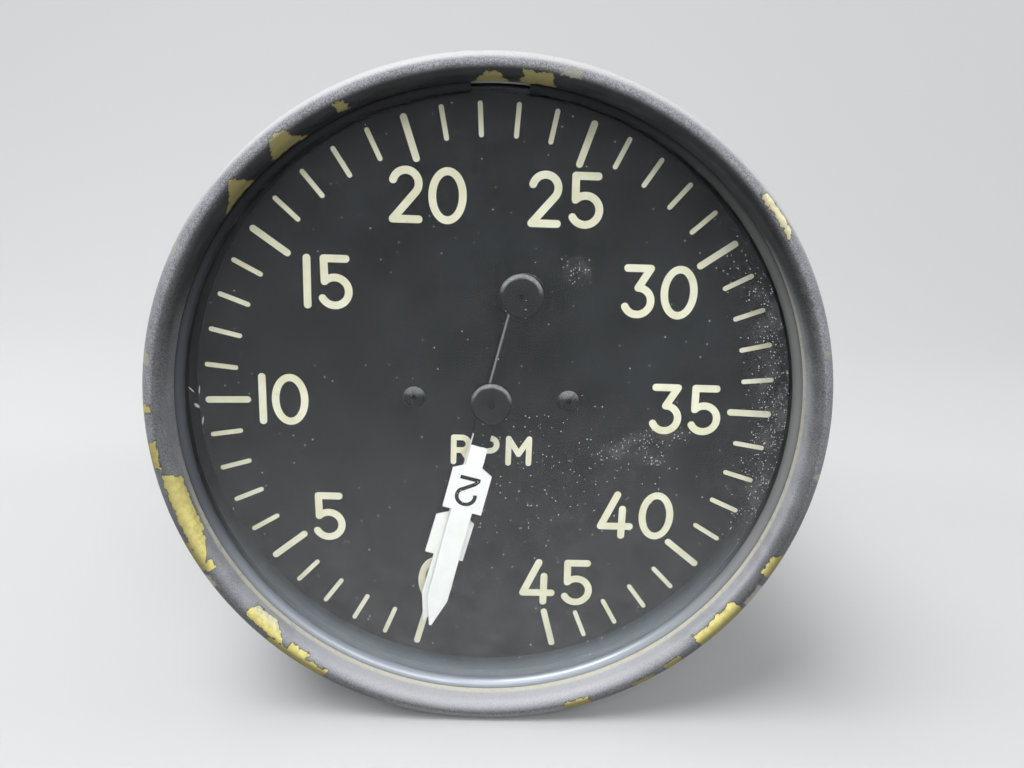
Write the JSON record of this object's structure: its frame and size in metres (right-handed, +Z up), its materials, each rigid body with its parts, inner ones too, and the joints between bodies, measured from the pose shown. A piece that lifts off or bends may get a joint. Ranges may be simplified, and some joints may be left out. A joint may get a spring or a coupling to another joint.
{
  "type": "aircraft tachometer",
  "caption": "Round panel instrument with a black dial and a pair of white hands, turned by sprung drag cups that motor-driven magnets pull round.",
  "frame": {"origin": "centre of the barrel in the panel plane, at the rear face of the bezel lip", "axes": "+Y along the barrel away from the viewer, +Z up on the dial, +X to the viewer's right"},
  "size_m": [0.0825, 0.1083, 0.0824],
  "materials": {
    "case_paint": "semi-gloss black paint chipped to yellow primer",
    "ring_paint": "smooth blue-black",
    "cover_glass": "polished flat glass",
    "rubber_seal": "matt black rubber",
    "spacer_paint": "satin slate paint",
    "dial_black": "matt black paint",
    "dial_marks": "matt cream paint",
    "hardware_black": "satin black paint",
    "hand_white": "matt white and black paint on sheet metal",
    "brass": "machined brass",
    "bronze_bush": "sintered bronze",
    "steel": "ground steel",
    "spring_steel": "blued spring steel",
    "soft_iron": "machined soft iron",
    "aluminium": "spun aluminium",
    "copper_winding": "varnished copper wire",
    "insert_resin": "brown moulded resin",
    "contact_plating": "gilt contact plating",
    "connector_shell": "grey plated shell"
  },
  "bodies": {
    "instrument": {"case": "case_paint", "snap_ring": "ring_paint", "glass": "cover_glass", "glass_gasket": "rubber_seal", "spacer_ring": "spacer_paint", "dial": "dial_black", "dial_scale": "dial_marks", "dial_screws": "hardware_black", "dial_posts": "brass", "front_plate": "brass", "middle_plate": "brass", "pointer_bushes": "bronze_bush", "arbor_bushes": "bronze_bush", "hairspring_1": "spring_steel", "hairspring_2": "spring_steel", "hairspring_studs": "brass", "keeper_rings": "soft_iron", "motor_front_plate": "aluminium", "motor_rear_plate": "aluminium", "motor_bearings": "steel", "motor_can_1": "hardware_black", "motor_can_2": "hardware_black", "stator_core_1": "soft_iron", "stator_core_2": "soft_iron", "stator_windings_1": "copper_winding", "stator_windings_2": "copper_winding", "tie_rods": "steel", "spacers": "brass", "rear_pillars": "brass", "rear_cover": "case_paint", "rear_gasket": "rubber_seal", "rear_screws": "steel", "connector_shell_1": "connector_shell", "connector_shell_2": "connector_shell", "connector_inserts": "insert_resin", "connector_pins": "contact_plating", "connector_screws": "steel"},
    "hand_1_group": {"hand_1": "hand_white", "hand_1_hub": "hardware_black", "hand_1_weight": "hardware_black", "pointer_sleeve": "steel", "hand_1_gear": "brass"},
    "hand_2_group": {"hand_2": "hand_white", "hand_2_hub": "hardware_black", "hand_2_weight": "hardware_black", "pointer_shaft": "steel", "hand_2_gear": "brass"},
    "drag_cup_1_group": {"cup_arbor_1": "steel", "cup_gear_1": "brass", "drag_cup_1": "aluminium"},
    "drag_cup_2_group": {"cup_arbor_2": "steel", "cup_gear_2": "brass", "drag_cup_2": "aluminium"},
    "rotor_1_group": {"motor_shaft_1": "steel", "rotor_1": "soft_iron", "drag_magnet_1": "soft_iron"},
    "rotor_2_group": {"motor_shaft_2": "steel", "rotor_2": "soft_iron", "drag_magnet_2": "soft_iron"}
  },
  "joints": [
    {"name": "hand_1_turn", "type": "hinge", "parent": "instrument", "child": "hand_1_group", "pos_m": [0, 0, 0], "axis": [0, 1, 0], "range_deg": [0, 330], "stiffness_Nm_per_rad": 0.0005},
    {"name": "hand_2_turn", "type": "hinge", "parent": "instrument", "child": "hand_2_group", "pos_m": [0, 0, 0], "axis": [0, 1, 0], "range_deg": [0, 331.6], "stiffness_Nm_per_rad": 0.0005},
    {"name": "drag_cup_1_turn", "type": "hinge", "parent": "instrument", "child": "drag_cup_1_group", "pos_m": [-0.018, 0, 0], "axis": [0, 1, 0], "range_deg": [-330, 0], "deforming": ["hairspring_1"]},
    {"name": "drag_cup_2_turn", "type": "hinge", "parent": "instrument", "child": "drag_cup_2_group", "pos_m": [0.018, 0, 0], "axis": [0, 1, 0], "range_deg": [-331.6, 0], "deforming": ["hairspring_2"]},
    {"name": "rotor_1_spin", "type": "hinge", "parent": "instrument", "child": "rotor_1_group", "pos_m": [-0.018, 0, 0], "axis": [0, 1, 0], "continuous": true},
    {"name": "rotor_2_spin", "type": "hinge", "parent": "instrument", "child": "rotor_2_group", "pos_m": [0.018, 0, 0], "axis": [0, 1, 0], "continuous": true}
  ],
  "couplings": [
    {"joint": "drag_cup_1_turn", "follows": "hand_1_turn", "ratio": -1},
    {"joint": "drag_cup_2_turn", "follows": "hand_2_turn", "ratio": -1}
  ]
}
